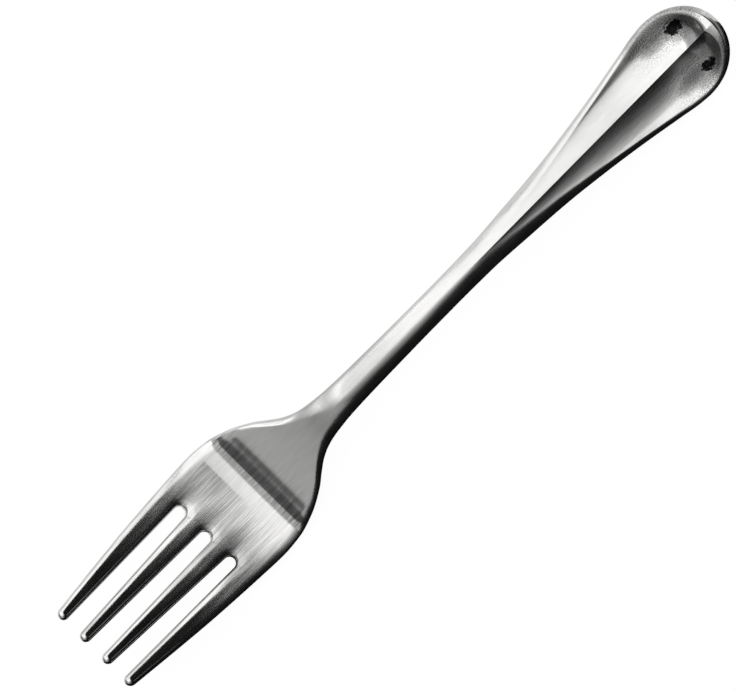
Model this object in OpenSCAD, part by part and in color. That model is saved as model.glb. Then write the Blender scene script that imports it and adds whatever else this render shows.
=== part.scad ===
// Pastry fork, pressed and bent from one stainless steel blank.
// +X runs from the tines to the end of the handle, and +Z is the side that carries the food.
// The fork lies as it does on a table, on the belly of its head and the heel of its handle.

/* [Tines] */
// Number of tines
tine_count = 4; // [3:1:5]
// Length of the slots, from the tips of the tines to their round closed ends
slot_l = 27.8; // [24:0.2:33]
// Width of a tine at its tip
tine_tip_w = 2; // [1.6:0.1:2.6]
// Width of an inner tine beside the closed ends of the slots
tine_root_w = 3.85; // [3.2:0.05:4.6]
// Width of a slot between the tips
slot_tip_w = 3.25; // [2.6:0.05:3.8]
// Width of a slot at its round closed end
slot_root_w = 2.15; // [1.6:0.05:2.7]
// Thickness of a tine at its tip
tine_tip_t = 1.4; // [1.1:0.1:1.8]

/* [Head] */
// Length of the flat palm, from the slots to the bend
palm_l = 7.8; // [5.6:0.2:9]
// Length of the belly, the bend on which the head rests
belly_l = 7.8; // [6.4:0.2:9.4]
// Length of the shoulders, from the belly to the neck
shoulder_l = 11.2; // [9:0.2:13.6]
// How far the head swells past the outer tines on each side
head_swell = 0.7; // [0.3:0.1:1.4]
// Thickness of the head
head_t = 1.9; // [1.5:0.1:2.4]
// How far the sides of the head stand above its middle
dish_d = 0.3; // [0.1:0.05:0.5]
// Depth of the groove that runs from each slot into the palm
groove_d = 0.22; // [0.1:0.02:0.34]

/* [Stem] */
// Width of the neck, where the shoulders end
neck_w = 7.05; // [6.2:0.05:8]
// Length of the stem, from the neck to its narrowest place
stem_l = 30.4; // [24:0.2:37]
// Width of the stem at its narrowest place
stem_w = 5.3; // [4.4:0.1:6]
// Thickness of the stem
stem_t = 3.2; // [2.6:0.1:3.8]

/* [Handle] */
// Length over which the handle widens, from the stem to its widest place
flare_l = 55.1; // [45:0.1:66]
// Width of the handle at its widest place
handle_w = 16.7; // [14:0.1:19]
// Length of the round end, past the widest place
end_l = 9.6; // [8.6:0.1:12]
// Thickness of the rim at the end
end_t = 2.6; // [2.1:0.1:3.2]
// Width of the rounding on the front of the rim
rim_round = 1; // [0.7:0.05:1.3]
// Width of the small round corner along every edge
corner_w = 0.3; // [0.2:0.05:0.4]
// Depth of the two hollows below the rim
hollow_d = 0.6; // [0.4:0.05:0.8]
// Height of the middle ridge above the rim
ridge_h = 0.55; // [0.2:0.05:0.9]

/* [Bends] */
// Upward slope of the tines at their tips, in degrees
tine_angle = 23; // [14:1:30]
// Upward slope of the step where the belly turns up into the shoulders, in degrees
step_angle = 37; // [28:1:38]
// Upward slope of the shoulders, in degrees
shoulder_angle = 24; // [16:1:28]
// Downward slope of the handle, in degrees
handle_angle = 10; // [7:0.5:13]
// Upward slope of the end of the handle, in degrees
end_angle = 40; // [20:1:45]
// Depth of the flats worn where the fork rests on the table
wear_d = 0.04; // [0.02:0.01:0.08]

/* [Hidden] */

// Places along the fork, measured level from the tips
bend_x = slot_l + palm_l;
throat_x = bend_x + belly_l;
neck_x = throat_x + shoulder_l;
waist_x = neck_x + stem_l;
wide_x = waist_x + flare_l;
end_x = wide_x + end_l;

// Each slot ends in a half circle, whose centre lies at root_x
slot_r = slot_root_w / 2;
root_x = slot_l - slot_r;
tip_r = tine_tip_w / 2;
tip_span = tine_count * tine_tip_w + (tine_count - 1) * slot_tip_w;
root_span = tine_count * tine_root_w + (tine_count - 1) * slot_root_w;
head_half = root_span / 2 + head_swell;

// Cells across one tine, an even number, so that one column of points runs along the ridge
cells = 8;
columns = tine_count * cells;

// Outline of the head: where along the slots it widens, and by how much of the whole widening
spread_shares = [[0, 0], [0.36, 0.39], [0.64, 0.66], [1, 0.9]];
// The head is widest this far along the palm
widest_share = 0.83;
// Outline of the shoulders, stem and handle, as shares of the length and of the change of width of each
shoulder_shares = [[0, 0], [0.2, 0.04], [0.4, 0.19], [0.6, 0.458], [0.7, 0.65], [0.8, 0.825], [0.9, 0.938]];
stem_shares = [[0, 0], [0.07, 0.32], [0.14, 0.55], [0.27, 0.74], [0.5, 0.89], [0.8, 0.99]];
flare_shares = [[0, 0], [0.15, 0.02], [0.3, 0.112], [0.45, 0.22], [0.6, 0.39], [0.75, 0.605], [0.9, 0.86],
    [0.96, 0.963], [1, 1]];
// The round end is a superellipse, a little fuller than an ellipse
end_power = 2.3;

// Points of a table of shares, laid between two places and two values
function laid(shares, from, to) = [for (s = shares) from + [s[0] * (to - from)[0], s[1] * (to - from)[1]]];

widest = [slot_l + widest_share * palm_l, head_half];
outline = concat(
    laid(spread_shares, [0, tip_span / 2], [slot_l, head_half]),
    laid(shoulder_shares, widest, [neck_x, neck_w / 2]),
    laid(stem_shares, [neck_x, neck_w / 2], [waist_x, stem_w / 2]),
    laid(flare_shares, [waist_x, stem_w / 2], [wide_x, handle_w / 2]));

// Slope of the fork along its length, in degrees, upward towards the handle
slopes = [
    [0, -tine_angle],
    [0.5 * slot_l, -0.87 * tine_angle],
    [0.9 * slot_l, -0.7 * tine_angle],
    [slot_l + 0.35 * palm_l, -0.42 * tine_angle],
    [slot_l + 0.85 * palm_l, -0.26 * tine_angle],
    [bend_x + 0.1 * belly_l, -0.05 * shoulder_angle],
    [bend_x + 0.36 * belly_l, 0.1 * shoulder_angle],
    [bend_x + 0.56 * belly_l, 0.7 * step_angle],
    [bend_x + 0.69 * belly_l, step_angle],
    [bend_x + 0.81 * belly_l, 0.82 * step_angle],
    [bend_x + 0.92 * belly_l, 0.93 * step_angle],
    [throat_x + 0.09 * shoulder_l, shoulder_angle],
    [throat_x + 0.65 * shoulder_l, 0.94 * shoulder_angle],
    [neck_x + 0.05 * stem_l, 0.6 * shoulder_angle],
    [neck_x + 0.3 * stem_l, 0.25 * shoulder_angle],
    [neck_x + 0.6 * stem_l, 0],
    [waist_x, -0.5 * handle_angle],
    [waist_x + 0.2 * flare_l, -0.85 * handle_angle],
    [waist_x + 0.45 * flare_l, -handle_angle],
    [waist_x + 0.75 * flare_l, -0.95 * handle_angle],
    [wide_x - 0.6 * end_l, -0.65 * handle_angle],
    [wide_x, 0],
    [wide_x + 0.6 * end_l, 0.6 * end_angle],
    [wide_x + 0.9 * end_l, 0.97 * end_angle],
    [end_x, end_angle]];

// Height of the front and depth of the back, from the line along the middle of the edges
fronts = [
    [0, 0.53 * tine_tip_t],
    [slot_l, 0.52 * head_t],
    [throat_x, 0.55 * head_t],
    [throat_x + 0.6 * shoulder_l, 0.4 * stem_t],
    [neck_x, 0.48 * stem_t],
    [neck_x + 0.3 * stem_l, 0.5 * stem_t],
    [waist_x, 0.48 * stem_t],
    [waist_x + 0.5 * flare_l, (0.5 * end_t + 0.45 * stem_t) / 2],
    [wide_x, 0.5 * end_t],
    [end_x, 0.54 * end_t]];
backs = [
    [0, 0.47 * tine_tip_t],
    [slot_l, 0.48 * head_t],
    [throat_x, 0.5 * head_t],
    [neck_x, 0.46 * stem_t],
    [neck_x + 0.3 * stem_l, 0.5 * stem_t],
    [waist_x, 0.46 * stem_t],
    [waist_x + 0.5 * flare_l, 0.42 * stem_t],
    [wide_x, 0.48 * end_t],
    [end_x, 0.46 * end_t]];

// Past its round corner, each edge rises over a soft bevel, which takes this share of the height
bevels = [
    [0, 0.5],
    [slot_l, 0.45],
    [bend_x, 0.5],
    [throat_x, 0.5],
    [neck_x, 0.7],
    [neck_x + 0.2 * stem_l, 0.75],
    [waist_x + 0.3 * flare_l, 0.7],
    [waist_x + 0.7 * flare_l, 0.5],
    [wide_x, 0.4]];
// Width of the corner and bevel together, from the edge inwards, on the front and on the back
front_rounds = [
    [0, 0.9 * tip_r],
    [0.5 * slot_l, 0.9 * tip_r],
    [slot_l, 0.5 * tine_root_w / 2],
    [bend_x, 1.8 * rim_round],
    [throat_x + 0.4 * shoulder_l, 1.5 * rim_round],
    [neck_x, 0.75 * neck_w / 2],
    [neck_x + 0.15 * stem_l, neck_w / 2],
    [waist_x + 0.15 * flare_l, stem_w / 2],
    [waist_x + 0.35 * flare_l, 2 * rim_round],
    [waist_x + 0.65 * flare_l, 1.3 * rim_round],
    [wide_x, rim_round],
    [wide_x + 0.5 * end_l, 0.9 * rim_round],
    [wide_x + 0.8 * end_l, 1.1 * rim_round],
    [end_x, 1.9 * rim_round]];
back_rounds = [
    [0, 0.8 * tip_r],
    [slot_l, 0.55 * tine_root_w / 2],
    [throat_x, 0.7 * head_t],
    [neck_x, 0.8 * neck_w / 2],
    [neck_x + 0.15 * stem_l, neck_w / 2],
    [waist_x + 0.2 * flare_l, 0.9 * stem_w / 2 + 0.05 * handle_w],
    [wide_x, 0.45 * handle_w / 2],
    [end_x, 0.8 * end_t]];

// The dish of the head, and the grooves past the slots
dishes = [
    [0.4 * slot_l, 0],
    [slot_l, 0.8 * dish_d],
    [bend_x, dish_d],
    [throat_x, 0.3 * dish_d],
    [neck_x, 0]];
grooves = [
    [root_x - 3 * slot_r, 0],
    [slot_l - 0.5 * slot_r, groove_d],
    [slot_l + 0.3 * palm_l, 0.45 * groove_d],
    [slot_l + 0.8 * palm_l, 0]];

// The hollows deepen and the ridge rises along the handle
hollows = [
    [waist_x + 0.6 * flare_l, 0],
    [waist_x + 0.86 * flare_l, 0.25 * hollow_d],
    [wide_x, 0.6 * hollow_d],
    [wide_x + 0.4 * end_l, hollow_d]];
ridges = [
    [waist_x + 0.1 * flare_l, 0],
    [waist_x + 0.3 * flare_l, 0.35 * ridge_h],
    [waist_x + 0.7 * flare_l, 0.8 * ridge_h],
    [wide_x, ridge_h]];
// The ridge's flanks reach this share of the way to the rim, and are steepest beside its crest
flank_shares = [
    [waist_x + 0.1 * flare_l, 0.95],
    [waist_x + 0.6 * flare_l, 0.9],
    [wide_x, 0.62]];
ridge_power = 2.6;
// The hollows start inside this share of the rim's rounding, and the ridge dies away this far from the end
lip_share = 0.75;
ridge_fade = 2 * rim_round;

// Smooth curve through the points of a table, which never swings past them
function step_of(t, i) = (t[i + 1][1] - t[i][1]) / (t[i + 1][0] - t[i][0]);
function slope_of(t, i) =
    i == 0 ? step_of(t, 0) :
    i == len(t) - 1 ? step_of(t, i - 1) :
    let (a = step_of(t, i - 1), b = step_of(t, i)) a * b <= 0 ? 0 : 2 * a * b / (a + b);
function flow(t, x) =
    x <= t[0][0] ? t[0][1] :
    x >= t[len(t) - 1][0] ? t[len(t) - 1][1] :
    let (
        i = max([for (k = [0:len(t) - 2]) if (t[k][0] <= x) k]),
        w = t[i + 1][0] - t[i][0],
        u = (x - t[i][0]) / w)
    t[i][1] * (1 + 2 * u) * pow(1 - u, 2) + slope_of(t, i) * w * u * pow(1 - u, 2)
    + t[i + 1][1] * (3 - 2 * u) * u * u + slope_of(t, i + 1) * w * u * u * (u - 1);
function mix(a, b, share) = a + (b - a) * share;
function ease(u) = let (v = min(1, max(0, u))) v * v * (3 - 2 * v);
// Quarter of an ellipse: 0 at the edge, 1 where the rounding ends
function bulge(u) = u >= 1 ? 1 : sqrt(max(0, 1 - pow(1 - u, 2)));
// Shape of an edge: up its round corner, then over its bevel, which ends at u = 1
function crown(u, corner_share, bevel_share) =
    mix(bulge(u / corner_share), 1 - pow(1 - min(1, max(0, u)), 2), bevel_share);

// Plan of the fork: half of its width, and the slots
function end_share(x) = max(0, (x - wide_x) / end_l);
function half_w(x) = flow(outline, x) * sqrt(max(0, 1 - pow(end_share(x), end_power)));
function along_slot(x) = min(1, x / root_x);
function slot_y(k, x) = (k - (tine_count - 2) / 2)
    * (mix(tine_tip_w, tine_root_w, along_slot(x)) + mix(slot_tip_w, slot_root_w, along_slot(x)));
function slot_half(x) =
    x <= root_x ? mix(slot_tip_w, slot_root_w, along_slot(x)) / 2 :
    x >= slot_l ? 0 : sqrt(pow(slot_r, 2) - pow(x - root_x, 2));
function tine_low(k, x) = k == 0 ? -half_w(x) : slot_y(k - 1, x) + slot_half(x);
function tine_high(k, x) = k == tine_count - 1 ? half_w(x) : slot_y(k, x) - slot_half(x);
function tip_share(x) = max(0, 1 - x / tip_r);

// Place across the fork of column j of tine k; past the slots the columns ease into those of the handle
function tine_y(k, j, x) =
    (tine_low(k, x) + tine_high(k, x)) / 2
    + (tine_high(k, x) - tine_low(k, x)) / 2 * sqrt(1 - pow(tip_share(x), 2)) * sin(90 * (2 * j / cells - 1));
function handle_y(k, j, x) =
    let (v = 2 * (k * cells + j) / columns - 1) half_w(x) * sign(v) * (1 - cos(180 * v)) / 2;
function column_y(k, j, x) =
    x <= slot_l ? tine_y(k, j, x) :
    mix(tine_y(k, j, x), handle_y(k, j, x), ease((x - slot_l) / (throat_x - slot_l)));

// Distance over the surface from the nearest edge
function tine_inset(k, x, y) =
    let (half = (tine_high(k, x) - tine_low(k, x)) / 2, mid = (tine_high(k, x) + tine_low(k, x)) / 2)
    half * (1 - sqrt(pow(tip_share(x), 2) + pow((y - mid) / half, 2)));
function slot_inset(x, y) =
    min([for (k = [0:tine_count - 2]) sqrt(pow(x - root_x, 2) + pow(y - slot_y(k, x), 2)) - slot_r]);
function side_inset(x, y) = half_w(x) - abs(y);
function end_inset(x, y) =
    let (
        t = end_share(x),
        q = abs(y) / (handle_w / 2),
        level = sqrt(pow(t, end_power) + q * q),
        along = end_power * pow(t, end_power - 1) / end_l * cos(flow(slopes, x)),
        across = 2 * q / (handle_w / 2))
    level == 0 ? end_l : min(end_l, (1 - level) * 2 * level / sqrt(along * along + across * across));
function inset(k, x, y) = max(0,
    x <= root_x ? tine_inset(k, x, y) :
    x <= throat_x ? min(side_inset(x, y), slot_inset(x, y)) :
    x <= wide_x ? side_inset(x, y) : end_inset(x, y));

// Front and back of the fork, measured square to the line along the middle of its edges
function half_room(x) =
    x <= slot_l ? mix(tine_tip_w, tine_root_w, along_slot(x)) / 2 : half_w(min(x, wide_x));
function front_round(x) = min(flow(front_rounds, x), half_room(x));
function back_round(x) = min(flow(back_rounds, x), half_room(x));
function crowned(x, d, round_w) = crown(d / round_w, corner_w / round_w, flow(bevels, x));
function dished(x, y) = flow(dishes, x) * pow(y / head_half, 2);
function grooved(x, y) =
    let (
        pitch = slot_y(1, x) - slot_y(0, x),
        off = min([for (k = [0:tine_count - 2]) abs(y - slot_y(k, x))]))
    flow(grooves, x) * pow(cos(180 * min(0.5, off / pitch)), 2);
function front_n(x, y, d) =
    let (
        half = half_room(x),
        lip = lip_share * front_round(x),
        floor_y = flow(flank_shares, x) * (half - lip),
        beside = pow(1 - min(1, abs(y) / floor_y), ridge_power),
        wall = ease((d - lip) / (half - lip - floor_y)),
        raised = flow(ridges, x) * beside * ease(d / ridge_fade),
        sunk = flow(hollows, x) * wall * (1 - beside))
    (flow(fronts, x) + raised - sunk) * crowned(x, d, front_round(x)) + dished(x, y) - grooved(x, y);
function back_n(x, y, d) = dished(x, y) - flow(backs, x) * crowned(x, d, back_round(x));

// Rows along the fork, closest where it is rounded or bent
function spread(from, to, steps) = [for (i = [1:steps]) mix(from, to, i / steps)];
slot_rows = concat(
    [for (a = [20, 45, 70, 90]) tip_r * (1 - cos(a))],
    spread(tip_r, root_x, 9),
    [for (a = [30, 55, 75, 90]) root_x + slot_r * sin(a)]);
slot_row = len(slot_rows) - 1;
rows = concat(
    slot_rows,
    [for (s = [0.06, 0.25, 0.6, 1]) slot_l + s * front_round(slot_l)],
    spread(slot_l + front_round(slot_l), bend_x, 4),
    spread(bend_x, throat_x, 12),
    spread(throat_x, neck_x, 9),
    spread(neck_x, waist_x, 9),
    spread(waist_x, wide_x - 0.3 * end_l, 15),
    spread(wide_x - 0.3 * end_l, wide_x + 0.3 * end_l, 6),
    [for (a = [24, 32, 40, 48, 56, 64, 72, 80, 85]) wide_x + end_l * pow(sin(a), 2 / end_power)]);
last = len(rows) - 1;

// Height of each row, summed from the slopes
function rise_to(i) =
    (rows[i] - rows[i - 1]) * (tan(flow(slopes, rows[i])) + tan(flow(slopes, rows[i - 1]))) / 2;
heights = [for (i = 0, z = 0; i <= last; i = i + 1, z = i <= last ? z + rise_to(i) : z) z];
function lean(i, n) = let (a = flow(slopes, rows[i])) [rows[i] - n * sin(a), heights[i] + n * cos(a)];

// The fork is tipped until its belly and its heel touch the table together
function tipped(p, a) = [p[0] * cos(a) + p[1] * sin(a), p[1] * cos(a) - p[0] * sin(a)];
keel = [for (i = [slot_row:last]) lean(i, -flow(backs, rows[i]))];
function lowest(points) =
    let (z = min([for (p = points) p[1]])) [for (p = points) if (p[1] == z) p][0];
belly_keel = [for (p = keel) if (p[0] < neck_x) p];
heel_keel = [for (p = keel) if (p[0] > waist_x) p];
function settled(a, turns) = turns == 0 ? a :
    let (
        belly = lowest([for (p = belly_keel) tipped(p, a)]),
        heel = lowest([for (p = heel_keel) tipped(p, a)]))
    settled(a + atan((heel[1] - belly[1]) / (heel[0] - belly[0])), turns - 1);
tip_angle = settled(0, 4);
table_z = lowest([for (p = belly_keel) tipped(p, tip_angle)])[1] + wear_d;

// Points row by row: the front of every column, then its back
function stand(i, y, n) = let (p = tipped(lean(i, n), tip_angle)) [p[0], y, max(0, p[1] - table_z)];
function column_points(i, side) = [
    for (k = [0:tine_count - 1], j = [0:cells])
        let (x = rows[i], y = column_y(k, j, x), d = inset(k, x, y))
        stand(i, y, side == 0 ? front_n(x, y, d) : back_n(x, y, d))];
loose = [for (i = [0:last], side = [0, 1]) each column_points(i, side)];
middle_x = (min([for (p = loose) p[0]]) + max([for (p = loose) p[0]])) / 2;
points = [for (p = loose) p - [middle_x, 0, 0]];

// Neighbouring tines share a column past the slots, and front and back share the points of every edge
function on_edge(i, k, j) =
    i <= slot_row ? j == 0 || j == cells : (k == 0 && j == 0) || (k == tine_count - 1 && j == cells);
function place(i, side, k, j) =
    i >= slot_row && j == 0 && k > 0 ? place(i, side, k - 1, cells) :
    (2 * i + (on_edge(i, k, j) ? 0 : side)) * tine_count * (cells + 1) + k * (cells + 1) + j;
function halves(a, b, c, d) =
    [for (f = [[a, b, c], [a, c, d]]) if (f[0] != f[1] && f[1] != f[2] && f[2] != f[0]) f];
skin = [for (i = [0:last - 1], k = [0:tine_count - 1], j = [0:cells - 1]) each concat(
    halves(place(i, 0, k, j), place(i, 0, k, j + 1), place(i + 1, 0, k, j + 1), place(i + 1, 0, k, j)),
    halves(place(i, 1, k, j), place(i + 1, 1, k, j), place(i + 1, 1, k, j + 1), place(i, 1, k, j + 1)))];
tip_caps = [for (k = [0:tine_count - 1], j = [0:cells - 1]) each
    halves(place(0, 0, k, j), place(0, 1, k, j), place(0, 1, k, j + 1), place(0, 0, k, j + 1))];
end_cap = [for (k = [0:tine_count - 1], j = [0:cells - 1]) each
    halves(place(last, 0, k, j), place(last, 0, k, j + 1), place(last, 1, k, j + 1), place(last, 1, k, j))];

module fork() {
    color("silver") polyhedron(points = points, faces = concat(skin, tip_caps, end_cap), convexity = 6);
}

fork();

echo(triangles = len(skin) + len(tip_caps) + len(end_cap), tip_angle = tip_angle,
    length = max([for (p = points) p[0]]) * 2, height = max([for (p = points) p[2]]));
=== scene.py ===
import math

import bpy
import numpy as np
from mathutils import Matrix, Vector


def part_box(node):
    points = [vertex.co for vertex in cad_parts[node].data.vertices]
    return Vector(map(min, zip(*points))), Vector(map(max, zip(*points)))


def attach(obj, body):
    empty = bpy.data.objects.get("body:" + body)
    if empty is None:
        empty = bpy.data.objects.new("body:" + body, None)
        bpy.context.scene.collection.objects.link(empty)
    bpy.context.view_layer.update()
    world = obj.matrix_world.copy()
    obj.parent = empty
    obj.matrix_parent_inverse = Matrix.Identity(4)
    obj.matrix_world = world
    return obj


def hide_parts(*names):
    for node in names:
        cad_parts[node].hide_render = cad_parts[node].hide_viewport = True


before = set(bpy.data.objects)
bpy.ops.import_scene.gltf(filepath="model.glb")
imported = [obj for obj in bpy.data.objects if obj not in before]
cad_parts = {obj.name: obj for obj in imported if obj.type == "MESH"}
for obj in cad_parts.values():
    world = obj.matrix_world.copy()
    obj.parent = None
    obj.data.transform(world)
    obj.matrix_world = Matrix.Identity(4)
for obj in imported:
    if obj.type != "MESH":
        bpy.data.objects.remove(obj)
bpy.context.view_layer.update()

# The fork: a pastry fork with four tapered tines, stamped from one flat blank of stainless steel.
# The blank is coined thicker along the stem, pressed with a ridge and two hollows at the
# handle's end, and bent so that it rests on the belly of its head and the heel of its handle.
MM = 0.001
TINES = 4
SLOT_LENGTH = 27.8
TINE_TIP_WIDTH = 2.0
TINE_ROOT_WIDTH = 3.85
SLOT_TIP_WIDTH = 3.25
SLOT_ROOT_WIDTH = 2.15
TINE_TIP_THICKNESS = 1.4
PALM_LENGTH = 7.8
BELLY_LENGTH = 7.8
SHOULDER_LENGTH = 11.2
HEAD_SWELL = 0.7
HEAD_THICKNESS = 1.9
NECK_WIDTH = 7.05
STEM_LENGTH = 30.4
STEM_WIDTH = 5.3
STEM_THICKNESS = 3.2
FLARE_LENGTH = 55.1
HANDLE_WIDTH = 16.7
END_LENGTH = 9.6
END_THICKNESS = 2.6
RIM_ROUND = 1.0
HOLLOW_DEPTH = 0.6
RIDGE_HEIGHT = 0.55
WEAR_DEPTH = 0.04
TINE_ANGLE = 23.0
STEP_ANGLE = 37.0
SHOULDER_ANGLE = 24.0
HANDLE_ANGLE = 10.0
END_ANGLE = 40.0

bend_x = SLOT_LENGTH + PALM_LENGTH
throat_x = bend_x + BELLY_LENGTH
neck_x = throat_x + SHOULDER_LENGTH
waist_x = neck_x + STEM_LENGTH
wide_x = waist_x + FLARE_LENGTH
end_x = wide_x + END_LENGTH

slot_r = SLOT_ROOT_WIDTH / 2
root_x = SLOT_LENGTH - slot_r
tip_r = TINE_TIP_WIDTH / 2
tip_span = TINES * TINE_TIP_WIDTH + (TINES - 1) * SLOT_TIP_WIDTH
root_span = TINES * TINE_ROOT_WIDTH + (TINES - 1) * SLOT_ROOT_WIDTH
head_half = root_span / 2 + HEAD_SWELL


def smooth_curve(table):
    """A curve through the points of a table, which never swings past them."""
    xs, ys = np.array(table, float).T
    steps = np.diff(ys) / np.diff(xs)
    slopes = np.empty(len(xs))
    slopes[0], slopes[-1] = steps[0], steps[-1]
    for i in range(1, len(xs) - 1):
        a, b = steps[i - 1], steps[i]
        slopes[i] = 0 if a * b <= 0 else 2 * a * b / (a + b)

    def value(x):
        x = np.clip(x, xs[0], xs[-1])
        i = np.clip(np.searchsorted(xs, x, side="right") - 1, 0, len(xs) - 2)
        w = xs[i + 1] - xs[i]
        u = (x - xs[i]) / w
        return (ys[i] * (1 + 2 * u) * (1 - u) ** 2 + slopes[i] * w * u * (1 - u) ** 2
                + ys[i + 1] * (3 - 2 * u) * u ** 2 + slopes[i + 1] * w * u ** 2 * (u - 1))

    return value


def laid(shares, start, stop):
    """Points of a table of shares, laid between two places and two values."""
    (start_x, start_value), (stop_x, stop_value) = start, stop
    return [(start_x + s * (stop_x - start_x), start_value + t * (stop_value - start_value))
            for s, t in shares]


def mix(a, b, share):
    return a + (b - a) * share


def ease(u):
    u = np.clip(u, 0, 1)
    return u * u * (3 - 2 * u)


def crown(u, corner_share, bevel_share):
    """Shape of an edge: 0 at the outline, up a round corner, then over a soft bevel to 1."""
    corner = np.sqrt(np.clip(1 - (1 - np.clip(u / corner_share, 0, 1)) ** 2, 0, 1))
    bevel = 1 - (1 - np.clip(u, 0, 1)) ** 2
    return (1 - bevel_share) * corner + bevel_share * bevel


# The blank's plan: half its width along the fork, in shares from one named place to the next
SPREAD_SHARES = [(0, 0), (0.36, 0.39), (0.64, 0.66), (1, 0.9)]
WIDEST_SHARE = 0.83
SHOULDER_SHARES = [(0, 0), (0.2, 0.04), (0.4, 0.19), (0.6, 0.458), (0.7, 0.65), (0.8, 0.825),
                   (0.9, 0.938)]
STEM_SHARES = [(0, 0), (0.07, 0.32), (0.14, 0.55), (0.27, 0.74), (0.5, 0.89), (0.8, 0.99)]
FLARE_SHARES = [(0, 0), (0.15, 0.02), (0.3, 0.112), (0.45, 0.22), (0.6, 0.39), (0.75, 0.605),
                (0.9, 0.86), (0.96, 0.963), (1, 1)]
END_POWER = 2.3
widest_palm_x = SLOT_LENGTH + WIDEST_SHARE * PALM_LENGTH
outline = smooth_curve(
    laid(SPREAD_SHARES, (0, tip_span / 2), (SLOT_LENGTH, head_half))
    + laid(SHOULDER_SHARES, (widest_palm_x, head_half), (neck_x, NECK_WIDTH / 2))
    + laid(STEM_SHARES, (neck_x, NECK_WIDTH / 2), (waist_x, STEM_WIDTH / 2))
    + laid(FLARE_SHARES, (waist_x, STEM_WIDTH / 2), (wide_x, HANDLE_WIDTH / 2)))


def end_share(x):
    return np.clip((x - wide_x) / END_LENGTH, 0, None)


def half_width(x):
    return outline(x) * np.sqrt(np.clip(1 - end_share(x) ** END_POWER, 0, 1))


def along_slot(x):
    return np.clip(x / root_x, None, 1)


def slot_y(k, x):
    """Place across the fork of the middle of slot k."""
    pitch = (mix(TINE_TIP_WIDTH, TINE_ROOT_WIDTH, along_slot(x))
             + mix(SLOT_TIP_WIDTH, SLOT_ROOT_WIDTH, along_slot(x)))
    return (k - (TINES - 2) / 2) * pitch


def slot_half(x):
    straight = mix(SLOT_TIP_WIDTH, SLOT_ROOT_WIDTH, along_slot(x)) / 2
    closed = np.sqrt(np.clip(slot_r ** 2 - (x - root_x) ** 2, 0, None))
    return np.where(x <= root_x, straight, np.where(x >= SLOT_LENGTH, 0, closed))


def tine_low(k, x):
    return -half_width(x) if k == 0 else slot_y(k - 1, x) + slot_half(x)


def tine_high(k, x):
    return half_width(x) if k == TINES - 1 else slot_y(k, x) - slot_half(x)


def tip_share(x):
    return np.clip(1 - x / tip_r, 0, None)


# The bends: slope of the fork along its length, in degrees, upward towards the handle
slope = smooth_curve([
    (0, -TINE_ANGLE),
    (0.5 * SLOT_LENGTH, -0.87 * TINE_ANGLE),
    (0.9 * SLOT_LENGTH, -0.7 * TINE_ANGLE),
    (SLOT_LENGTH + 0.35 * PALM_LENGTH, -0.58 * TINE_ANGLE),
    (SLOT_LENGTH + 0.85 * PALM_LENGTH, -0.26 * TINE_ANGLE),
    (bend_x + 0.1 * BELLY_LENGTH, -0.05 * SHOULDER_ANGLE),
    (bend_x + 0.26 * BELLY_LENGTH, 0.1 * SHOULDER_ANGLE),
    (bend_x + 0.42 * BELLY_LENGTH, 0.34 * STEP_ANGLE),
    (bend_x + 0.56 * BELLY_LENGTH, 0.7 * STEP_ANGLE),
    (bend_x + 0.69 * BELLY_LENGTH, STEP_ANGLE),
    (bend_x + 0.81 * BELLY_LENGTH, 0.79 * STEP_ANGLE),
    (bend_x + 0.92 * BELLY_LENGTH, 0.84 * STEP_ANGLE),
    (throat_x + 0.09 * SHOULDER_LENGTH, SHOULDER_ANGLE),
    (throat_x + 0.65 * SHOULDER_LENGTH, 0.94 * SHOULDER_ANGLE),
    (neck_x + 0.05 * STEM_LENGTH, 0.6 * SHOULDER_ANGLE),
    (neck_x + 0.3 * STEM_LENGTH, 0.25 * SHOULDER_ANGLE),
    (neck_x + 0.6 * STEM_LENGTH, 0),
    (waist_x, -0.5 * HANDLE_ANGLE),
    (waist_x + 0.2 * FLARE_LENGTH, -0.85 * HANDLE_ANGLE),
    (waist_x + 0.45 * FLARE_LENGTH, -HANDLE_ANGLE),
    (waist_x + 0.75 * FLARE_LENGTH, -0.95 * HANDLE_ANGLE),
    (wide_x - 0.6 * END_LENGTH, -0.65 * HANDLE_ANGLE),
    (wide_x, 0),
    (wide_x + 0.6 * END_LENGTH, 0.6 * END_ANGLE),
    (wide_x + 0.9 * END_LENGTH, 0.97 * END_ANGLE),
    (end_x, END_ANGLE)])

# Height of the front and depth of the back, from the line along the middle of the edges
front = smooth_curve([
    (0, 0.53 * TINE_TIP_THICKNESS),
    (SLOT_LENGTH, 0.52 * HEAD_THICKNESS),
    (throat_x, 0.55 * HEAD_THICKNESS),
    (throat_x + 0.6 * SHOULDER_LENGTH, 0.4 * STEM_THICKNESS),
    (neck_x, 0.48 * STEM_THICKNESS),
    (neck_x + 0.3 * STEM_LENGTH, 0.5 * STEM_THICKNESS),
    (waist_x, 0.48 * STEM_THICKNESS),
    (waist_x + 0.5 * FLARE_LENGTH, (0.5 * END_THICKNESS + 0.45 * STEM_THICKNESS) / 2),
    (wide_x, 0.5 * END_THICKNESS),
    (end_x, 0.54 * END_THICKNESS)])
back = smooth_curve([
    (0, 0.47 * TINE_TIP_THICKNESS),
    (SLOT_LENGTH, 0.48 * HEAD_THICKNESS),
    (throat_x, 0.5 * HEAD_THICKNESS),
    (neck_x, 0.46 * STEM_THICKNESS),
    (neck_x + 0.3 * STEM_LENGTH, 0.5 * STEM_THICKNESS),
    (waist_x, 0.46 * STEM_THICKNESS),
    (waist_x + 0.5 * FLARE_LENGTH, 0.42 * STEM_THICKNESS),
    (wide_x, 0.48 * END_THICKNESS),
    (end_x, 0.46 * END_THICKNESS)])

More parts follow.
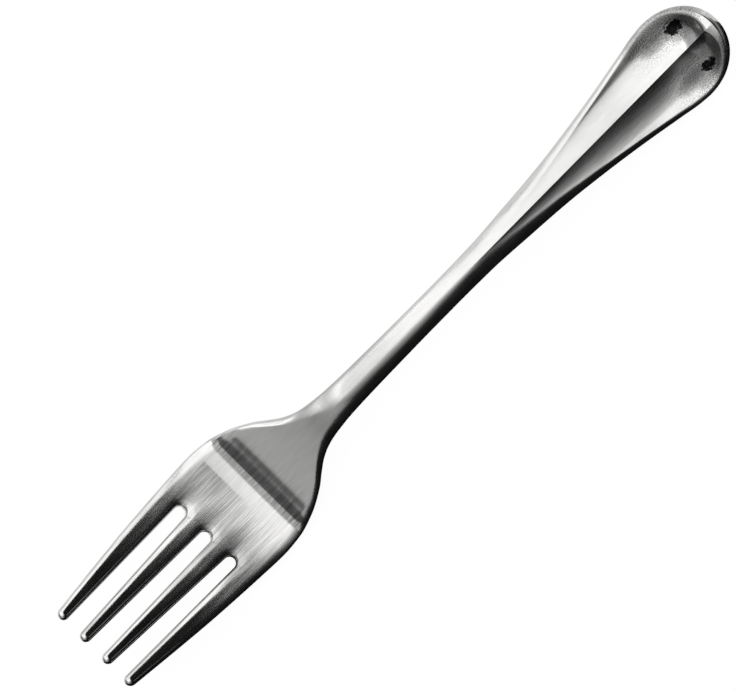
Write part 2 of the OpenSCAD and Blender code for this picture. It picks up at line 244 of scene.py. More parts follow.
# The edges: a round corner within this width, then a bevel that takes this share of the height
CORNER_WIDTH = 0.3
bevel_curve = smooth_curve([
    (0, 0.5),
    (SLOT_LENGTH, 0.45),
    (bend_x, 0.5),
    (throat_x, 0.5),
    (neck_x, 0.7),
    (neck_x + 0.2 * STEM_LENGTH, 0.75),
    (waist_x + 0.3 * FLARE_LENGTH, 0.7),
    (waist_x + 0.7 * FLARE_LENGTH, 0.5),
    (wide_x, 0.4)])
# Width of the rounding from the edge inwards
front_round_curve = smooth_curve([
    (0, 0.9 * tip_r),
    (0.5 * SLOT_LENGTH, 1.1 * tip_r),
    (SLOT_LENGTH, 0.72 * TINE_ROOT_WIDTH / 2),
    (bend_x, 1.8 * RIM_ROUND),
    (throat_x + 0.4 * SHOULDER_LENGTH, 1.5 * RIM_ROUND),
    (neck_x, 0.75 * NECK_WIDTH / 2),
    (neck_x + 0.15 * STEM_LENGTH, NECK_WIDTH / 2),
    (waist_x + 0.15 * FLARE_LENGTH, STEM_WIDTH / 2),
    (waist_x + 0.35 * FLARE_LENGTH, 2 * RIM_ROUND),
    (waist_x + 0.65 * FLARE_LENGTH, 1.1 * RIM_ROUND),
    (wide_x, 0.8 * RIM_ROUND),
    (wide_x + 0.5 * END_LENGTH, 0.8 * RIM_ROUND),
    (wide_x + 0.8 * END_LENGTH, 1.1 * RIM_ROUND),
    (end_x, 1.9 * RIM_ROUND)])
back_round_curve = smooth_curve([
    (0, 0.8 * tip_r),
    (SLOT_LENGTH, 0.55 * TINE_ROOT_WIDTH / 2),
    (throat_x, 0.7 * HEAD_THICKNESS),
    (neck_x, 0.8 * NECK_WIDTH / 2),
    (neck_x + 0.15 * STEM_LENGTH, NECK_WIDTH / 2),
    (waist_x + 0.2 * FLARE_LENGTH, 0.9 * STEM_WIDTH / 2 + 0.05 * HANDLE_WIDTH),
    (wide_x, 0.45 * HANDLE_WIDTH / 2),
    (end_x, 0.8 * END_THICKNESS)])

# The two hollows and the ridge between them, pressed into the front of the handle.
# The floor share is how much of the room beside the ridge each hollow's floor takes.
hollow = smooth_curve([
    (waist_x + 0.6 * FLARE_LENGTH, 0),
    (waist_x + 0.86 * FLARE_LENGTH, 0.25 * HOLLOW_DEPTH),
    (wide_x, 0.6 * HOLLOW_DEPTH),
    (wide_x + 0.4 * END_LENGTH, HOLLOW_DEPTH)])
ridge = smooth_curve([
    (waist_x + 0.1 * FLARE_LENGTH, 0),
    (waist_x + 0.3 * FLARE_LENGTH, 0.35 * RIDGE_HEIGHT),
    (waist_x + 0.7 * FLARE_LENGTH, 0.8 * RIDGE_HEIGHT),
    (wide_x, RIDGE_HEIGHT)])
floor_share = smooth_curve([
    (waist_x + 0.1 * FLARE_LENGTH, 0.95),
    (waist_x + 0.6 * FLARE_LENGTH, 0.9),
    (wide_x, 0.62)])
RIDGE_POWER = 2.0
LIP_SHARE = 0.75
RIDGE_FADE = 2 * RIM_ROUND


def tine_inset(k, x, y):
    half = (tine_high(k, x) - tine_low(k, x)) / 2
    middle = (tine_high(k, x) + tine_low(k, x)) / 2
    return half * (1 - np.sqrt(tip_share(x) ** 2 + ((y - middle) / half) ** 2))


def slot_inset(x, y):
    return np.min([np.hypot(x - root_x, y - slot_y(k, x)) - slot_r for k in range(TINES - 1)], axis=0)


TINY = 1e-9


def end_inset(x, y):
    """Distance from the outline of the handle's rounded end, which runs where level is 1."""
    t = end_share(x)
    q = np.abs(y) / (HANDLE_WIDTH / 2)
    level = np.sqrt(t ** END_POWER + q * q)
    along = END_POWER * t ** (END_POWER - 1) / END_LENGTH * np.cos(np.radians(slope(x)))
    across = 2 * q / (HANDLE_WIDTH / 2)
    steep = np.hypot(along, across)
    near = (1 - level) * 2 * level / np.maximum(steep, TINY)
    return np.where(steep > 0, np.minimum(END_LENGTH, near), END_LENGTH)


def inset(k, x, y):
    """Distance over the surface from the nearest edge."""
    side = half_width(x) - np.abs(y)
    near = np.where(x <= root_x, tine_inset(k, x, y),
                    np.where(x <= throat_x, np.minimum(side, slot_inset(x, y)),
                             np.where(x <= wide_x, side, end_inset(x, y))))
    return np.clip(near, 0, None)


# The palm is dished: its sides stand this much higher than its middle
DISH_DEPTH = 0.3
dish = smooth_curve([
    (0.4 * SLOT_LENGTH, 0),
    (SLOT_LENGTH, 0.8 * DISH_DEPTH),
    (bend_x, DISH_DEPTH),
    (throat_x, 0.3 * DISH_DEPTH),
    (neck_x, 0)])


def dished(x, y):
    return dish(x) * (np.abs(y) / head_half) ** 2


# Past each slot the palm keeps a shallow groove, which dies out towards the bend
GROOVE_DEPTH = 0.22
groove = smooth_curve([
    (root_x - 3 * slot_r, 0),
    (SLOT_LENGTH - 0.5 * slot_r, GROOVE_DEPTH),
    (SLOT_LENGTH + 0.3 * PALM_LENGTH, 0.45 * GROOVE_DEPTH),
    (SLOT_LENGTH + 0.8 * PALM_LENGTH, 0)])


def grooved(x, y):
    pitch = slot_y(1, x) - slot_y(0, x)
    off = np.min([np.abs(y - slot_y(k, x)) for k in range(TINES - 1)], axis=0)
    wave = np.cos(np.pi * np.clip(off / pitch, 0, 0.5)) ** 2
    return groove(x) * wave


def half_room(x):
    return np.where(x <= SLOT_LENGTH, mix(TINE_TIP_WIDTH, TINE_ROOT_WIDTH, along_slot(x)) / 2,
                    half_width(np.minimum(x, wide_x)))


def front_height(x, y, d):
    """Height of the front over the middle line, at a place that lies d from the nearest edge."""
    half = half_room(x)
    round_w = np.minimum(front_round_curve(x), half)
    lip = LIP_SHARE * round_w
    floor_y = floor_share(x) * (half - lip)
    beside = (1 - np.clip(np.abs(y) / floor_y, 0, 1)) ** RIDGE_POWER
    wall = ease((d - lip) / (half - lip - floor_y))
    raised = ridge(x) * beside * ease(d / RIDGE_FADE)
    sunk = hollow(x) * wall * (1 - beside)
    rounded = crown(d / round_w, CORNER_WIDTH / round_w, bevel_curve(x))
    return (front(x) + raised - sunk) * rounded + dished(x, y) - grooved(x, y)


def back_depth(x, y, d):
    """Depth of the back under the middle line, at a place that lies d from the nearest edge."""
    round_w = np.minimum(back_round_curve(x), half_room(x))
    rounded = crown(d / round_w, CORNER_WIDTH / round_w, bevel_curve(x))
    return back(x) * rounded - dished(x, y)


# Rows along the fork, closest where it is rounded or bent.
# Round stretches are stepped in degrees, from the first turn of the tips to the last of the end.
FIRST_TURN, END_TURN, LAST_TURN = 8, 14, 88.5
TIP_ROWS, TINE_ROWS, SLOT_END_ROWS, SLOT_EDGE_ROWS, BEND_ROWS = 11, 60, 14, 10, 40
SHOULDER_ROWS, STEM_ROWS, FLARE_ROWS, WIDE_ROWS, END_ROWS = 24, 36, 70, 24, 46
WIDE_SHARE = 0.3
slot_edge_x = SLOT_LENGTH + front_round_curve(SLOT_LENGTH)
wide_start_x = wide_x - WIDE_SHARE * END_LENGTH
wide_stop_x = wide_x + WIDE_SHARE * END_LENGTH


def past(start, stop, count):
    """Even steps from start to stop, without start itself."""
    return np.linspace(start, stop, count)[1:]


rows = np.concatenate([
    tip_r * (1 - np.cos(np.radians(np.linspace(FIRST_TURN, 90, TIP_ROWS)))),
    past(tip_r, root_x, TINE_ROWS),
    root_x + slot_r * np.sin(np.radians(past(0, 90, SLOT_END_ROWS))),
    SLOT_LENGTH + (slot_edge_x - SLOT_LENGTH) * (1 - np.cos(np.radians(past(0, 90, SLOT_EDGE_ROWS)))),
    past(slot_edge_x, throat_x, BEND_ROWS),
    past(throat_x, neck_x, SHOULDER_ROWS),
    past(neck_x, waist_x, STEM_ROWS),
    past(waist_x, wide_start_x, FLARE_ROWS),
    past(wide_start_x, wide_stop_x, WIDE_ROWS),
    wide_x + END_LENGTH * np.sin(np.radians(past(END_TURN, LAST_TURN, END_ROWS))) ** (2 / END_POWER)])
slot_row = int(np.argmin(np.abs(rows - SLOT_LENGTH)))
lean = np.radians(slope(rows))
rise = np.diff(rows) * (np.tan(lean[1:]) + np.tan(lean[:-1])) / 2
heights = np.concatenate([[0], np.cumsum(rise)])


def tipped(points, angle):
    """Points along and above the table, turned about the tips of the tines."""
    x, z = points
    return np.array([x * math.cos(angle) + z * math.sin(angle),
                     z * math.cos(angle) - x * math.sin(angle)])


# The bent blank is tipped until its belly and its heel lie level, and both are worn by a small flat
SETTLE_TURNS = 4
keel = np.array([rows + back(rows) * np.sin(lean), heights - back(rows) * np.cos(lean)])[:, slot_row:]
belly_keel = keel[:, keel[0] < neck_x]
heel_keel = keel[:, keel[0] > waist_x]
tip_angle = 0.0
for turn in range(SETTLE_TURNS):
    belly = belly_keel[:, np.argmin(tipped(belly_keel, tip_angle)[1])]
    heel = heel_keel[:, np.argmin(tipped(heel_keel, tip_angle)[1])]
    belly, heel = tipped(belly, tip_angle), tipped(heel, tip_angle)
    tip_angle += math.atan((heel[1] - belly[1]) / (heel[0] - belly[0]))
table_z = tipped(belly_keel, tip_angle)[1].min() + WEAR_DEPTH

# Front and back of a strip for each tine. Past the slots the strips run on side by side to the end.
CELLS = 24
columns = TINES * CELLS
points = np.empty((len(rows), 2, TINES, CELLS + 1, 3))
sheet = np.empty((len(rows), 2, TINES, CELLS + 1, 2))
turn_share = np.sin(np.radians(90 * np.linspace(-1, 1, CELLS + 1)))
for k in range(TINES):
    x = rows[:, None]
    low, high = tine_low(k, x), tine_high(k, x)
    on_tine = (low + high) / 2 + (high - low) / 2 * np.sqrt(1 - tip_share(x) ** 2) * turn_share
    v = 2 * (k * CELLS + np.arange(CELLS + 1)) / columns - 1
    on_handle = half_width(x) * np.sign(v) * (1 - np.cos(np.pi * v)) / 2
    share = np.where(x <= SLOT_LENGTH, 0, ease((x - SLOT_LENGTH) / (throat_x - SLOT_LENGTH)))
    y = mix(on_tine, on_handle, share)
    x = np.broadcast_to(x, y.shape)
    d = inset(k, x, y)
    for side, n in enumerate([front_height(x, y, d), -back_depth(x, y, d)]):
        leaning = np.array([x - n * np.sin(lean)[:, None], heights[:, None] + n * np.cos(lean)[:, None]])
        level = tipped(leaning, tip_angle)
        points[:, side, k, :, 0] = level[0]
        points[:, side, k, :, 1] = y
        points[:, side, k, :, 2] = np.maximum(0, level[1] - table_z)
        sheet[:, side, k, :, 0] = x
        sheet[:, side, k, :, 1] = y

# Front and back share the points of every edge, and the strips share theirs past the slots
index = np.arange(points[..., 0].size).reshape(points.shape[:-1])
edge = np.zeros(index.shape, bool)
edge[:slot_row + 1, :, :, [0, -1]] = True
edge[:, :, 0, 0] = True
edge[:, :, -1, -1] = True
index[:, 1] = np.where(edge[:, 1], index[:, 0], index[:, 1])
for k in range(1, TINES):
    index[slot_row:, :, k, 0] = index[slot_row:, :, k - 1, CELLS]


def quads(a, b, c, d):
    return np.stack([a.ravel(), b.ravel(), c.ravel(), d.ravel()], axis=1)


top, under = index[:, 0], index[:, 1]
faces = np.concatenate([
    quads(top[:-1, :, :-1], top[1:, :, :-1], top[1:, :, 1:], top[:-1, :, 1:]),
    quads(under[:-1, :, :-1], under[:-1, :, 1:], under[1:, :, 1:], under[1:, :, :-1]),
    quads(top[0, :, :-1], top[0, :, 1:], under[0, :, 1:], under[0, :, :-1]),
    quads(top[-1, :, :-1], under[-1, :, :-1], under[-1, :, 1:], top[-1, :, 1:])])
corners = []
for face in faces.tolist():
    ring = [c for i, c in enumerate(face) if c != face[i - 1]]
    if len(ring) > 2:
        corners.append(ring)

# The fork lies in the frame of its solid: middle over middle, with the table at z = 0
flat_points = points.reshape(-1, 3)
used = np.unique(np.concatenate([np.array(c) for c in corners]))
renumber = np.full(len(flat_points), -1)
renumber[used] = np.arange(len(used))
place = flat_points[used]
middle_x = (place[:, 0].min() + place[:, 0].max()) / 2
low_corner, high_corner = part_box("fork")
place = place * MM
place[:, 0] += (low_corner.x + high_corner.x) / 2 - middle_x * MM

blank = bpy.data.meshes.new("polished_fork")
blank.from_pydata(place.tolist(), [], [[int(renumber[c]) for c in ring] for ring in corners])
blank.validate()
blank.shade_smooth()
fork = bpy.data.objects.new("polished_fork", blank)
bpy.context.scene.collection.objects.link(fork)

# Plan of the blank as a texture map: u along the fork and v across it, in metres
plan = blank.uv_layers.new(name="plan")
flat_sheet = sheet.reshape(-1, 2)[used] * MM
loop_points = np.empty(len(blank.loops), int)
blank.loops.foreach_get("vertex_index", loop_points)
plan.data.foreach_set("uv", flat_sheet[loop_points].ravel().astype(np.float32))

# The steel: bare metal, whose gleams are drawn out across the lay of the brushing
BRUSHED_STRETCH = 0.65
ACROSS_THE_LAY = 0.25
steel = bpy.data.materials.new("satin_steel")
steel.use_nodes = True
steel_tree = steel.node_tree
shader = steel_tree.nodes["Principled BSDF"]
shader.inputs["Metallic"].default_value = 1.0
shader.inputs["Anisotropic"].default_value = BRUSHED_STRETCH
shader.inputs["Anisotropic Rotation"].default_value = ACROSS_THE_LAY
sheet_map = steel_tree.nodes.new("ShaderNodeUVMap")
sheet_map.uv_map = "plan"
sheet_parts = steel_tree.nodes.new("ShaderNodeSeparateXYZ")
steel_tree.links.new(sheet_map.outputs[0], sheet_parts.inputs[0])
lay = steel_tree.nodes.new("ShaderNodeTangent")
lay.direction_type = "UV_MAP"
lay.uv_map = "plan"
steel_tree.links.new(lay.outputs[0], shader.inputs["Tangent"])


def plug(socket, given, tree):
    """Feeds a socket from another socket, or sets it to a number."""
    if isinstance(given, bpy.types.NodeSocket):
        tree.links.new(given, socket)
    else:
        socket.default_value = given


def maths(operation, *given, tree=steel_tree):
    node = tree.nodes.new("ShaderNodeMath")
    node.operation = operation
    for socket, value in zip(node.inputs, given):
        plug(socket, value, tree)
    return node.outputs[0]


def plus(a, b):
    return maths("ADD", a, b)


def minus(a, b):
    return maths("SUBTRACT", a, b)


def times(a, b):
    return maths("MULTIPLY", a, b)


def between(value, start, stop):
    """0 where the value is below start, rising smoothly to 1 at stop."""
    node = steel_tree.nodes.new("ShaderNodeMapRange")
    node.interpolation_type = "SMOOTHSTEP"
    plug(node.inputs["Value"], value, steel_tree)
    plug(node.inputs["From Min"], start, steel_tree)
    plug(node.inputs["From Max"], stop, steel_tree)
    return node.outputs[0]


def until(value, start, stop):
    """1 where the value is below start, falling smoothly to 0 at stop."""
    return minus(1.0, between(value, start, stop))


def grain(patch_long, patch_wide, detail, seed):
    """Noise over the plan from about 0 to 1, with patches of this length and width in mm."""
    turned = steel_tree.nodes.new("ShaderNodeMapping")
    steel_tree.links.new(sheet_map.outputs[0], turned.inputs["Vector"])
    turned.inputs["Location"].default_value = (seed, seed, seed)
    turned.inputs["Scale"].default_value = (1 / (patch_long * MM), 1 / (patch_wide * MM), 1)
    noise = steel_tree.nodes.new("ShaderNodeTexNoise")
    steel_tree.links.new(turned.outputs[0], noise.inputs["Vector"])
    noise.inputs["Scale"].default_value = 1.0
    noise.inputs["Detail"].default_value = detail
    return noise.outputs[0]


def swing(noise):
    """The same noise, as a change about zero."""
    return minus(noise, NOISE_MIDDLE)


NOISE_MIDDLE = 0.5
# Places on the plan in mm: along from the tips of the tines, and across from the middle
along = maths("DIVIDE", sheet_parts.outputs[0], MM)
across = maths("DIVIDE", sheet_parts.outputs[1], MM)


def stretch(start, full, fade, gone):
    """1 over a stretch of the fork, given by where it starts, is full, starts to fade and is gone."""
    return times(between(along, start, full), until(along, fade, gone))


# The head is brushed lengthwise as far as the bend, but not on its upper rim, and only faintly past it.
# The brushing stops sharply on the upper half of the palm and softly on the lower half.
BRUSH_END = 35.9
SHARP_END, SOFT_END = 0.12, 1.1
RAGGED_END = 1.2
SOFT_HALF = (-3.0, 2.0)
UPPER_RIM = (8.6, 9.9)
RIM_START = (24.0, 28.0)
FAINT_END = throat_x + 0.12 * SHOULDER_LENGTH
FAINT_BLUR = 0.6
FAINT_SHARE = 0.45
fine_streaks = grain(6.0, 0.16, detail=2.0, seed=3.0)
wide_streaks = grain(12.0, 0.7, detail=1.0, seed=11.0)
end_blur = plus(times(until(across, *SOFT_HALF), SOFT_END - SHARP_END), SHARP_END)
end_place = plus(along, times(swing(fine_streaks), RAGGED_END))
end_reach = maths("DIVIDE", minus(end_place, BRUSH_END), end_blur)
bare_rim = times(between(along, *RIM_START), between(across, *UPPER_RIM))
brushed = times(until(end_reach, -1.0, 1.0), minus(1.0, bare_rim))
faint = until(along, FAINT_END - FAINT_BLUR, FAINT_END + FAINT_BLUR)
# Use has worn most of the brushing off the tines
WORN_TINES = (10.0, 27.0)
WORN_SHARE = 0.7
worn = until(along, *WORN_TINES)
brush = times(maths("MAXIMUM", brushed, times(faint, FAINT_SHARE)), minus(1.0, times(worn, WORN_SHARE)))
FINE_SHARE = 0.6
streaks = plus(times(fine_streaks, FINE_SHARE), times(wide_streaks, 1 - FINE_SHARE))
BRUSH_HEIGHT = 0.022 * MM

# Handling has left fine, faint marks everywhere, and the pressed end is coarsely pitted
PIT_ENDS = (wide_x - 9, wide_x + 2)
PIT_SIDES = (0.6, 3.0)
MARKS_HEIGHT = 0.008 * MM
PIT_HEIGHT = 0.06 * MM
soft_marks = grain(4.0, 0.8, detail=3.0, seed=23.0)
pit_grain = grain(0.3, 0.24, detail=3.0, seed=37.0)
pitted = times(between(along, *PIT_ENDS), between(maths("ABSOLUTE", across), *PIT_SIDES))
height = plus(times(times(streaks, brush), BRUSH_HEIGHT),
              plus(times(soft_marks, MARKS_HEIGHT), times(times(pit_grain, pitted), PIT_HEIGHT)))
relief = steel_tree.nodes.new("ShaderNodeBump")
relief.inputs["Strength"].default_value = 1.0
relief.inputs["Distance"].default_value = 1.0
steel_tree.links.new(height, relief.inputs["Height"])
steel_tree.links.new(relief.outputs[0], shader.inputs["Normal"])

# Two dark, ragged pockets lie in the deepest places of the hollows, with patches and strips of painted
# shade about them.
# Each is given by its centre and its half size in mm.
POCKETS = (((144.2, 4.25), (1.7, 1.2)), ((144.0, -4.5), (1.7, 0.8)))
SHADE_PATCHES = (((141.0, 6.3), (6.5, 1.9)), ((145.5, 4.2), (3.6, 2.6)), ((144.0, -3.6), (5.5, 2.4)))
SHADE_STRIPS = (((140.0, 4.3), (3.4, 1.1)), ((140.5, -4.7), (4.0, 1.3)), ((143.0, -6.2), (3.4, 1.1)))
POCKET_SHADE, PAINTED_SHADE_SHARE = 0.97, 0.5
SQUARENESS = 3.0
ragged = swing(grain(0.7, 0.5, detail=6.0, seed=51.0))


def patches(places, rough, rim):
    """1 inside the patches and 0 outside, over a rim that is ragged and soft by these shares."""
    found = None
    for (patch_x, patch_y), (patch_long, patch_wide) in places:
        off_x = maths("DIVIDE", minus(along, patch_x), patch_long)
        off_y = maths("DIVIDE", minus(across, patch_y), patch_wide)
        reach = plus(maths("POWER", maths("ABSOLUTE", off_x), SQUARENESS), times(off_y, off_y))
        inside = until(plus(reach, times(ragged, rough)), 1 - rim, 1 + rim)
        found = inside if found is None else maths("MAXIMUM", found, inside)
    return found


pocket = patches(POCKETS, rough=4.5, rim=0.35)
# Painted shade: patches and strips that darken the steel about the pockets
patch_shade = patches(SHADE_PATCHES, rough=1.0, rim=0.9)
strip_shade = patches(SHADE_STRIPS, rough=1.0, rim=0.9)

# Colour: even steel, streaked where it is brushed, speckled where it is pitted, dark in the pockets.
# Then each stretch and mark makes the steel lighter or darker by its own share: the brushing, the soft
# marks and the pits as real tone, painted shade on the upper palm, the tine roots, the neck and the
# start of the stem, and a painted highlight on the band just past the brushing.
STEEL_COLOUR = (0.58, 0.577, 0.571)
STREAK_DEPTH, BRUSHED_DEPTH, BELLY_DEPTH = 0.5, 1.2, 2.8
SPECKLE_DEPTH = 2.0
on_belly = stretch(38.2, 40.2, 41.2, 43.8)
# Painted shade: the brushed palm is darkened from its middle towards its upper side
painted_shade_palm = times(times(between(along, 28.5, 36.5), between(across, -3.0, 6.5)), brushed)
# Painted shade: the lower side of the tine roots and the palm beside them are darkened
painted_shade_roots = times(stretch(21.0, 26.0, 28.5, 36.2), until(across, -2.0, 1.0))
# Painted highlight: the band just past the brushing is lightened
painted_highlight_band = stretch(BRUSH_END, 37.4, 38.2, 39.0)
# Painted shade: the neck is darkened
painted_shade_neck = stretch(45.5, 52.5, 53.5, 58.0)
# Painted shade: the bright gleam at the start of the stem is dimmed
painted_shade_stem = stretch(51.0, 56.0, 63.0, 80.0)
streak_depth = plus(plus(times(brushed, BRUSHED_DEPTH), STREAK_DEPTH), times(on_belly, BELLY_DEPTH))
shade = plus(1.0, times(swing(streaks), times(streak_depth, faint)))
for mask, change in ((brushed, -0.02), (painted_shade_palm, -0.4), (painted_shade_roots, -0.35), (painted_highlight_band, 0.05),
                       (painted_shade_neck, -0.13), (painted_shade_stem, -0.24), (swing(soft_marks), 0.22),
                       (times(swing(pit_grain), pitted), SPECKLE_DEPTH)):
    shade = plus(shade, times(mask, change))
# The pockets darken the steel, and the patches and strips about them are painted shade
for patch, dark_share in ((pocket, POCKET_SHADE), (patch_shade, PAINTED_SHADE_SHARE), (strip_shade, PAINTED_SHADE_SHARE)):
    shade = times(shade, minus(1.0, times(patch, dark_share)))
steel_colour = steel_tree.nodes.new("ShaderNodeVectorMath")
steel_colour.operation = "SCALE"
steel_colour.inputs[0].default_value = STEEL_COLOUR
steel_tree.links.new(shade, steel_colour.inputs["Scale"])
steel_tree.links.new(steel_colour.outputs[0], shader.inputs["Base Color"])

# Roughness: most on the brushed head and the pitted end, least on the worn tines
ROUGHNESS = 0.18
roughness = ROUGHNESS
for mask, change in ((brush, 0.03), (pitted, 0.08), (swing(soft_marks), 0.06), (worn, -0.05)):
    roughness = plus(roughness, times(mask, change))
steel_tree.links.new(roughness, shader.inputs["Roughness"])
blank.materials.append(steel)
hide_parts("fork")
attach(fork, "root")

# The surround: plain white paper all round, as in a product photograph.
# It shows white to the camera and in reflections, and lights the table only dimly.
SURROUND_WHITE = 1.0
SURROUND_LIGHT = 0.4


def seen_rays(tree):
    """1 for rays that come from the camera, from gloss or through glass, and 0 for other light."""
    rays = tree.nodes.new("ShaderNodeLightPath")
    seen = rays.outputs["Is Camera Ray"]
    for kind in ("Is Glossy Ray", "Is Transmission Ray"):
        seen = maths("MAXIMUM", seen, rays.outputs[kind], tree=tree)
    return seen


def ranged(value, start, stop, low, high, tree):
    """Goes evenly from low to high while the value goes from start to stop."""
    node = tree.nodes.new("ShaderNodeMapRange")
    for name, given in (("Value", value), ("From Min", start), ("From Max", stop),
                        ("To Min", low), ("To Max", high)):
        plug(node.inputs[name], given, tree)
    return node.outputs[0]


surround = bpy.data.worlds.new("surround")
bpy.context.scene.world = surround
surround.use_nodes = True
sky = surround.node_tree
background = sky.nodes["Background"]
background.inputs["Color"].default_value = (1, 1, 1, 1)
sky.links.new(ranged(seen_rays(sky), 0.0, 1.0, SURROUND_LIGHT, SURROUND_WHITE, sky),
              background.inputs["Strength"])

# The table top: a pale, matt board on which the fork lies.
# It looks almost white, and keeps the fork's faint shadow.
TABLE_HALF = 3.0
TABLE_GAP = 0.0002
TABLE_COLOUR = (0.8, 0.8, 0.8, 1)
TABLE_ROUGHNESS = 0.9
TABLE_WHITE = 1.06
WHITE_SHARE = 0.9
table_mesh = bpy.data.meshes.new("table_top")
table_mesh.from_pydata([(-TABLE_HALF, -TABLE_HALF, 0), (TABLE_HALF, -TABLE_HALF, 0),
                        (TABLE_HALF, TABLE_HALF, 0), (-TABLE_HALF, TABLE_HALF, 0)], [], [(0, 1, 2, 3)])
table_top = bpy.data.objects.new("table_top", table_mesh)
table_top.location.z = -TABLE_GAP
bpy.context.scene.collection.objects.link(table_top)
board = bpy.data.materials.new("pale_table")
board.use_nodes = True
board_tree = board.node_tree
paint = board_tree.nodes["Principled BSDF"]
paint.inputs["Base Color"].default_value = TABLE_COLOUR
paint.inputs["Roughness"].default_value = TABLE_ROUGHNESS
paint.inputs["Specular IOR Level"].default_value = 0.0
glow = board_tree.nodes.new("ShaderNodeEmission")
glow.inputs["Strength"].default_value = TABLE_WHITE
blend = board_tree.nodes.new("ShaderNodeMixShader")
whiteness = maths("MULTIPLY", seen_rays(board_tree), WHITE_SHARE, tree=board_tree)
board_tree.links.new(whiteness, blend.inputs[0])
board_tree.links.new(paint.outputs[0], blend.inputs[1])
board_tree.links.new(glow.outputs[0], blend.inputs[2])
board_tree.links.new(blend.outputs[0], board_tree.nodes["Material Output"].inputs["Surface"])
table_mesh.materials.append(board)

# The soft box: a wide lamp behind cloth, which hangs over the fork's upper side.
# Its lower edge runs almost along the fork, so that light and dark meet on the ridge.
HEIGHT = 1.2
EDGE_TURN = math.radians(3)
BOX_START = -0.44
BOX_SIZE = (1.02, 2.7)
BOX_LEVEL = 1.65


def beside_box(s, q):
    """A place at the height of the soft box, s along its lower edge and q across it."""
    return (s * math.cos(EDGE_TURN) - q * math.sin(EDGE_TURN),
            s * math.sin(EDGE_TURN) + q * math.cos(EDGE_TURN), HEIGHT)


box_lamp = bpy.data.lights.new("overhead_soft_box", "AREA")
box_lamp.shape = "RECTANGLE"
box_lamp.size, box_lamp.size_y = BOX_SIZE
box_lamp.energy = BOX_LEVEL * math.pi * BOX_SIZE[0] * BOX_SIZE[1]
soft_box = bpy.data.objects.new("overhead_soft_box", box_lamp)
soft_box.rotation_euler = (0, 0, EDGE_TURN)
soft_box.location = beside_box(BOX_START + BOX_SIZE[0] / 2, BOX_SIZE[1] / 2)
soft_box.visible_camera = False
bpy.context.scene.collection.objects.link(soft_box)

# The cards: black, grey and light boards, stood, laid and hung about the fork in the studio.
# They are seen only in its reflections, and shape its dark and light bands.
BLACK_LEVEL, DIM_LEVEL, DARK_LEVEL, GREY_LEVEL = 0.008, 0.1, 0.28, 0.57
ABOVE = HEIGHT + 0.01
SIDE = -1.0
FAR = 2.8
FAR_TINES = -2.0
BACK, FAR_BACK = 2.4, 3.2


def card_paint(name, radiance):
    """Paint of a card that shows as one even grey in reflections."""
    material = bpy.data.materials.new(name)
    material.use_nodes = True
    tree = material.node_tree
    tree.nodes.remove(tree.nodes["Principled BSDF"])
    even = tree.nodes.new("ShaderNodeEmission")
    even.inputs["Color"].default_value = (1, 1, 1, 1)
    even.inputs["Strength"].default_value = radiance
    tree.links.new(even.outputs[0], tree.nodes["Material Output"].inputs["Surface"])
    return material


def card(name, corners, material):
    """A flat card with four corners, seen only in reflections."""
    mesh = bpy.data.meshes.new(name)
    mesh.from_pydata(corners, [], [(0, 1, 2, 3)])
    mesh.materials.append(material)
    piece = bpy.data.objects.new(name, mesh)
    piece.visible_camera = False
    piece.visible_diffuse = False
    piece.visible_shadow = False
    bpy.context.scene.collection.objects.link(piece)


def level_card(name, x_ends, y_ends, z, material):
    (x0, x1), (y0, y1) = x_ends, y_ends
    card(name, [(x0, y0, z), (x1, y0, z), (x1, y1, z), (x0, y1, z)], material)


def wall_card(name, start, stop, material):
    card(name, [(*start, 0), (*stop, 0), (*stop, ABOVE), (*start, ABOVE)], material)


# Black ceiling, wall and table cloth along the lower side
black = card_paint("black_card", BLACK_LEVEL)
WALL_END = 0.9
CLOTH_EDGE = -0.001
CLOTH_Z = 0.0001
level_card("lower_ceiling", (BOX_START, FAR), (SIDE, BACK), ABOVE, black)
wall_card("lower_wall", (-FAR, SIDE), (WALL_END, SIDE), black)
level_card("lower_table", (-FAR, FAR), (SIDE, CLOTH_EDGE), CLOTH_Z, black)

# Dark grey walls past the handle
dark = card_paint("dark_card", DARK_LEVEL)
HANDLE_WALL_END = 0.6
wall_card("corner_wall", (WALL_END, SIDE), (FAR, SIDE), dark)
wall_card("handle_wall", (FAR, SIDE), (FAR, HANDLE_WALL_END), dark)

# The lower edge of the soft box falls off softly into the dark, sooner towards the handle
FALL_LEVEL, FALL_POWER, FALL_DEPTH = 1.1, 3.0, 0.92
WIDE_FALL, WIDE_FALL_X = 1.7, 0.12
NARROW_FALL, NARROW_FALL_X = 0.66, 0.32
falling = card_paint("falling_card", FALL_LEVEL)
fall_tree = falling.node_tree
fall_spot = fall_tree.nodes.new("ShaderNodeNewGeometry")
fall_way = fall_tree.nodes.new("ShaderNodeVectorMath")
fall_way.operation = "DOT_PRODUCT"
fall_way.inputs[1].default_value = (-math.sin(EDGE_TURN), math.cos(EDGE_TURN), 0)
fall_parts = fall_tree.nodes.new("ShaderNodeSeparateXYZ")
fall_tree.links.new(fall_spot.outputs["Position"], fall_way.inputs[0])
fall_tree.links.new(fall_spot.outputs["Position"], fall_parts.inputs[0])
fall_width = ranged(fall_parts.outputs[0], WIDE_FALL_X, NARROW_FALL_X, WIDE_FALL, NARROW_FALL, fall_tree)
fall_ratio = maths("DIVIDE", fall_way.outputs["Value"], fall_width, tree=fall_tree)
fall_share = maths("ADD", fall_ratio, 1.0, tree=fall_tree)
fall_share.node.use_clamp = True
fall_curve = maths("POWER", fall_share, FALL_POWER, tree=fall_tree)
fall_light = maths("MULTIPLY", fall_curve, FALL_LEVEL, tree=fall_tree)
fall_tree.links.new(fall_light, fall_tree.nodes["Emission"].inputs["Strength"])
box_end = BOX_START + BOX_SIZE[0]
card("soft_edge", [beside_box(BOX_START, 0), beside_box(BOX_START, -FALL_DEPTH),
                   beside_box(box_end, -FALL_DEPTH), beside_box(box_end, 0)], falling)

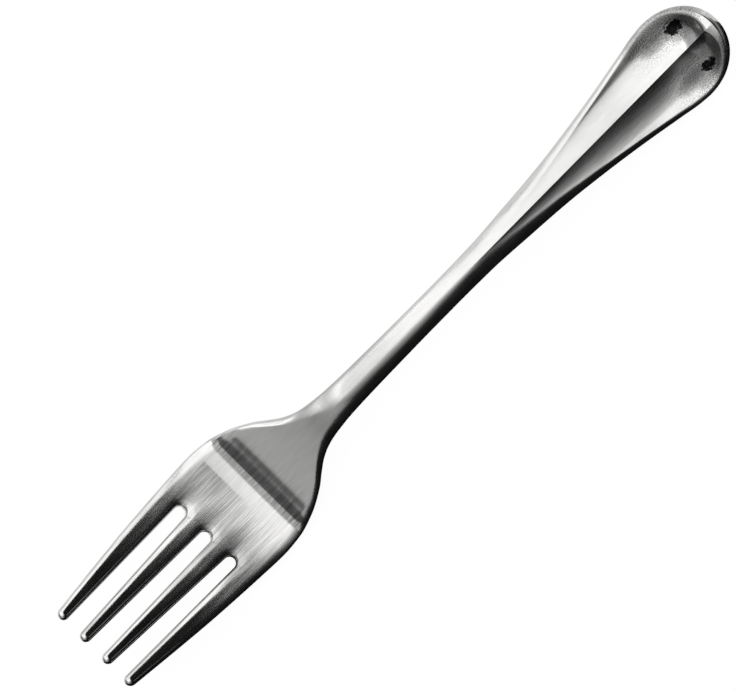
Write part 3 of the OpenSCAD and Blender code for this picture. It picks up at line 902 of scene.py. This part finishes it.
# A second, turned box of light past the handle
CORNER_X, CORNER_Y = 0.59, 0.17
CORNER_END_X, CORNER_END_Y = 2.0, 1.9
bright = card_paint("bright_card", BOX_LEVEL)
card("corner_box", [(CORNER_X, CORNER_Y, HEIGHT), (CORNER_END_X, CORNER_END_Y, HEIGHT),
                    (CORNER_END_X, BACK, HEIGHT), (CORNER_X, BACK, HEIGHT)], bright)

# Past the tines the light fades into a grey ceiling, down to a dim wall
QUICK_FADE, QUICK_FADE_Y = -0.6, 0.3
SLOW_FADE, SLOW_FADE_Y = -0.85, 1.0
MEET_Y = -0.06
grey = card_paint("grey_card", GREY_LEVEL)
dim = card_paint("dim_card", DIM_LEVEL)
fading = card_paint("fading_card", BOX_LEVEL)
fade_tree = fading.node_tree
fade_spot = fade_tree.nodes.new("ShaderNodeNewGeometry")
fade_parts = fade_tree.nodes.new("ShaderNodeSeparateXYZ")
fade_tree.links.new(fade_spot.outputs["Position"], fade_parts.inputs[0])
fade_end = ranged(fade_parts.outputs[1], QUICK_FADE_Y, SLOW_FADE_Y, QUICK_FADE, SLOW_FADE, fade_tree)
fade_light = ranged(fade_parts.outputs[0], BOX_START, fade_end, BOX_LEVEL, GREY_LEVEL, fade_tree)
fade_tree.links.new(fade_light, fade_tree.nodes["Emission"].inputs["Strength"])
level_card("tine_ceiling", (FAR_TINES, BOX_START), (MEET_Y, FAR_BACK), ABOVE, fading)
level_card("neck_ceiling", (FAR_TINES, BOX_START), (SIDE, MEET_Y), ABOVE, grey)
wall_card("tine_wall", (FAR_TINES, SIDE), (FAR_TINES, BACK), dim)

# The camera: it looks straight down at the fork, whose axis runs up to the right of the picture.
# It stands far off with a long lens, so the fork shows no perspective.
TURN = math.radians(45.4)
PICTURE_WIDTH = 0.12458
CENTRE_X, CENTRE_Y = -0.0056, 0.00323
LENS = 1000.0
SENSOR = 36.0
SIGHT = 20
camera = bpy.data.cameras.new("camera")
camera.lens = LENS
camera.sensor_width = SENSOR
camera.clip_end = SIGHT
camera_object = bpy.data.objects.new("camera", camera)
camera_object.location = (CENTRE_X, CENTRE_Y, LENS / SENSOR * PICTURE_WIDTH)
camera_object.rotation_euler = (0, 0, -TURN)
bpy.context.scene.collection.objects.link(camera_object)
bpy.context.scene.camera = camera_object
bpy.context.scene.view_settings.view_transform = "Standard"
